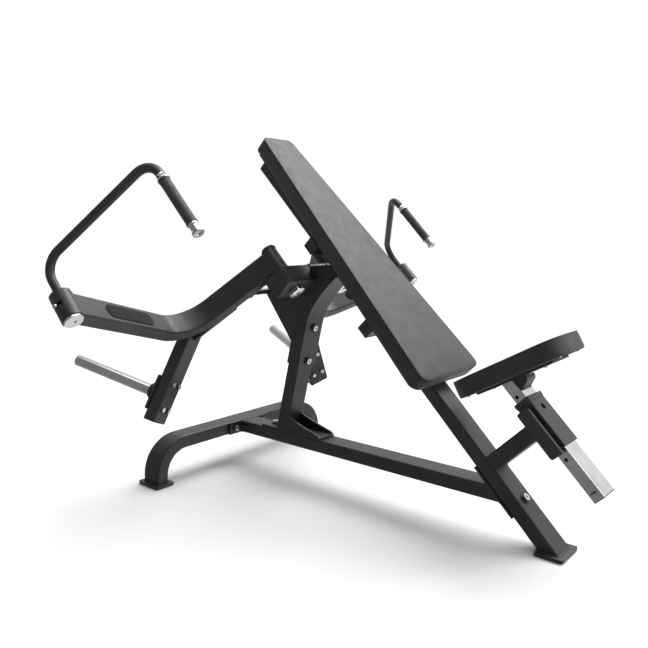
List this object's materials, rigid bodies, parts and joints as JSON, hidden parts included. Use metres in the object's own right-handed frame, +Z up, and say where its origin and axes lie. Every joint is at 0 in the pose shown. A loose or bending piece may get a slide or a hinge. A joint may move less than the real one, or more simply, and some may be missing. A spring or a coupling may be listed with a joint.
{
  "type": "chest press machine",
  "caption": "Plate-loaded incline chest press: inclined bench on a tubular frame, two independent press arms with swivel handles and weight horns, sliding seat.",
  "frame": {"origin": "centre of the footprint at floor level, in the middle plane of the machine", "axes": "+X forward, the way the user faces; +Y to the user's left; +Z up"},
  "size_m": [2.1103, 2.1178, 1.4719],
  "materials": {
    "frame_coat": "satin powder coat",
    "chrome_plate": "polished",
    "zinc_fastener": "bright zinc",
    "washer_black": "black oxide",
    "cushion_vinyl": "matt vinyl",
    "board_black": "matt",
    "rubber_black": "matt",
    "grip_rubber": "ribbed matt",
    "bronze_bush": "machined",
    "nylon_liner": "matt"
  },
  "bodies": {
    "frame": {"main_beam": "frame_coat", "beam_flanges": "frame_coat", "rear_cross_tube": "frame_coat", "foot_plates": "frame_coat", "foot_pads": "rubber_black", "incline_tube": "frame_coat", "incline_cap": "rubber_black", "mast": "frame_coat", "mast_base": "frame_coat", "mast_head": "frame_coat", "pivot_crossbar": "frame_coat", "stop_bar": "frame_coat", "arm_buffers": "rubber_black", "backrest_rails": "frame_coat", "backrest_board": "board_black", "backrest_pad": "cushion_vinyl", "frame_bolts": "zinc_fastener", "frame_washers": "washer_black", "seat_support": "frame_coat", "seat_carriage": "frame_coat", "carriage_liner": "nylon_liner", "right_pivot_shaft": "chrome_plate", "left_pivot_shaft": "chrome_plate", "right_pivot_caps": "chrome_plate", "left_pivot_caps": "chrome_plate"},
    "right_arm": {"right_press_arm": "frame_coat", "right_hub_bushes": "bronze_bush", "right_swivel_sleeve": "frame_coat", "right_swivel_liners": "nylon_liner", "right_horn_mount": "frame_coat", "right_horn_stop": "rubber_black", "right_weight_horn": "chrome_plate", "right_horn_plug": "rubber_black", "right_horn_bolts": "zinc_fastener"},
    "left_arm": {"left_press_arm": "frame_coat", "left_hub_bushes": "bronze_bush", "left_swivel_sleeve": "frame_coat", "left_swivel_liners": "nylon_liner", "left_horn_mount": "frame_coat", "left_horn_stop": "rubber_black", "left_weight_horn": "chrome_plate", "left_horn_plug": "rubber_black", "left_horn_bolts": "zinc_fastener"},
    "right_handle": {"right_handle_bar": "frame_coat", "right_grip": "grip_rubber", "right_grip_cap": "chrome_plate", "right_swivel_cap": "chrome_plate", "right_swivel_screw": "zinc_fastener"},
    "left_handle": {"left_handle_bar": "frame_coat", "left_grip": "grip_rubber", "left_grip_cap": "chrome_plate", "left_swivel_cap": "chrome_plate", "left_swivel_screw": "zinc_fastener"},
    "seat": {"seat_post": "chrome_plate", "seat_post_plug": "rubber_black", "seat_bracket": "frame_coat", "seat_board": "board_black", "seat_pad": "cushion_vinyl"},
    "release": {"release_plate": "frame_coat", "release_pins": "chrome_plate"}
  },
  "joints": [
    {"name": "right_press", "type": "hinge", "parent": "frame", "child": "right_arm", "pos_m": [-0.27674, -0.149, 0.95813], "axis": [-0.7009, 0, 0.7133], "range_deg": [0, 50]},
    {"name": "left_press", "type": "hinge", "parent": "frame", "child": "left_arm", "pos_m": [-0.27674, 0.149, 0.95813], "axis": [0.7009, 0, -0.7133], "range_deg": [0, 50]},
    {"name": "right_swivel", "type": "hinge", "parent": "right_arm", "child": "right_handle", "pos_m": [-0.4037, -1.014, 0.83336], "axis": [-0.7009, 0, 0.7133], "range_deg": [-10, 30]},
    {"name": "left_swivel", "type": "hinge", "parent": "left_arm", "child": "left_handle", "pos_m": [-0.4037, 1.014, 0.83336], "axis": [0.7009, 0, -0.7133], "range_deg": [-30, 10]},
    {"name": "seat_slide", "type": "slide", "parent": "frame", "child": "seat", "axis": [-0.7009, 0, 0.7133], "range_m": [0, 0.14]},
    {"name": "release_pull", "type": "slide", "parent": "frame", "child": "release", "axis": [0, -1, 0], "range_m": [0, 0.012], "stiffness_N_per_m": 900, "springref_m": -0.006}
  ]
}
